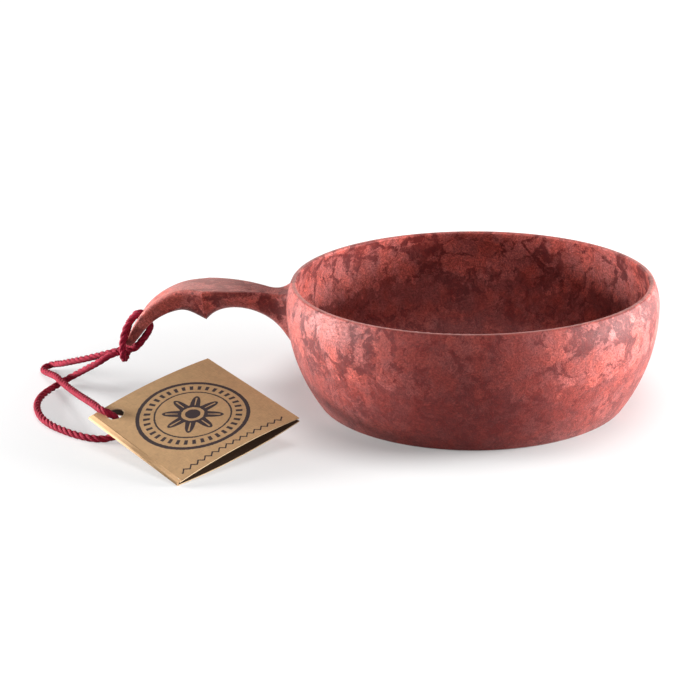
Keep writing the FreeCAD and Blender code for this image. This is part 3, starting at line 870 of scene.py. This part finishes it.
def seen_directly(w):
    """1 for what the eye, a gloss or glass sees, and 0 for light on the object."""
    rays = w.node("ShaderNodeLightPath").outputs
    mirrored = w.maths("MAXIMUM", rays["Is Glossy Ray"], rays["Is Transmission Ray"])
    return w.maths("MAXIMUM", rays["Is Camera Ray"], mirrored)


world = bpy.data.worlds.new("studio")
scene.world = world
world.use_nodes = True
world.node_tree.nodes.clear()
w = Wiring(world.node_tree)
soft = w.node("ShaderNodeBackground", Color=(1.0, 1.0, 1.0, 1.0), Strength=0.03)
white = w.node("ShaderNodeBackground", Color=(1.0, 1.0, 1.0, 1.0), Strength=1.0)
both = w.tree.nodes.new("ShaderNodeMixShader")
w.feed(both.inputs[0], seen_directly(w))
w.feed(both.inputs[1], soft.outputs[0])
w.feed(both.inputs[2], white.outputs[0])
w.feed(w.node("ShaderNodeOutputWorld").inputs["Surface"], both.outputs[0])

# The table lies a hair under the foot, so that the two don't share a plane.
TABLE_HALF = 3
TABLE_DROP = 5e-5
# The glow and the painted contact shadow are centred a little left of the bowl.
SHADOW_AND_GLOW_MIDDLE = (-0.008, 0.0, 0.0)
table_mesh = bpy.data.meshes.new("table")
table_corners = [
    (x * TABLE_HALF, y * TABLE_HALF, -TABLE_DROP)
    for x, y in ((-1, -1), (1, -1), (1, 1), (-1, 1))
]
table_mesh.from_pydata(table_corners, [], [(0, 1, 2, 3)])
table = bpy.data.objects.new("table", table_mesh)
scene.collection.objects.link(table)
white_table, shader = new_material("white table")
shader.inputs["Base Color"].default_value = (0.55, 0.55, 0.55, 1.0)
shader.inputs["Roughness"].default_value = 0.9
w = Wiring(white_table.node_tree)
# Seen directly, it glows white far off and less near the object, so the object's shadow shows
# there. In a ring round the foot, centred a little to the left, the glow is cut further as a
# painted contact shadow.
place = w.node("ShaderNodeTexCoord").outputs["Object"]
away = w.vector("DISTANCE", place, SHADOW_AND_GLOW_MIDDLE)
painted_contact_shadow = w.ramp(away, 0.060, 0.090, 0.52, 1.0)
glow_with_painted_shadow = w.maths("MULTIPLY", w.ramp(away, 0.14, 0.36, 0.43, 1.0), painted_contact_shadow)
w.feed(shader.inputs["Emission Color"], (1.0, 1.0, 1.0, 1.0))
w.feed(shader.inputs["Emission Strength"], w.maths("MULTIPLY", seen_directly(w), glow_with_painted_shadow))
table_mesh.materials.append(white_table)


def softbox(name, place, aim, width, height, power):
    """A flat soft lamp, its sizes in metres and its power in watts."""
    lamp = bpy.data.lights.new(name, "AREA")
    lamp.shape = "RECTANGLE"
    lamp.size = width
    lamp.size_y = height
    lamp.energy = power
    holder = bpy.data.objects.new(name, lamp)
    holder.location = place
    toward = Vector(aim) - Vector(place)
    holder.rotation_euler = toward.to_track_quat("-Z", "Y").to_euler()
    scene.collection.objects.link(holder)


BOWL_MIDDLE = (0, 0, 0.02)
softbox("left lamp", (-0.80, 0.04, 0.10), BOWL_MIDDLE, width=0.36, height=0.16, power=13.0)
softbox("right lamp", (0.80, 0.06, 0.12), BOWL_MIDDLE, width=0.50, height=0.18, power=21.0)
softbox("lamp above", (0.10, -0.05, 0.95), (0, 0, 0), width=0.50, height=0.50, power=3.0)
softbox("front lamp", (0.10, -0.85, 0.30), BOWL_MIDDLE, width=0.50, height=0.40, power=1.5)
scene.view_settings.view_transform = "Standard"
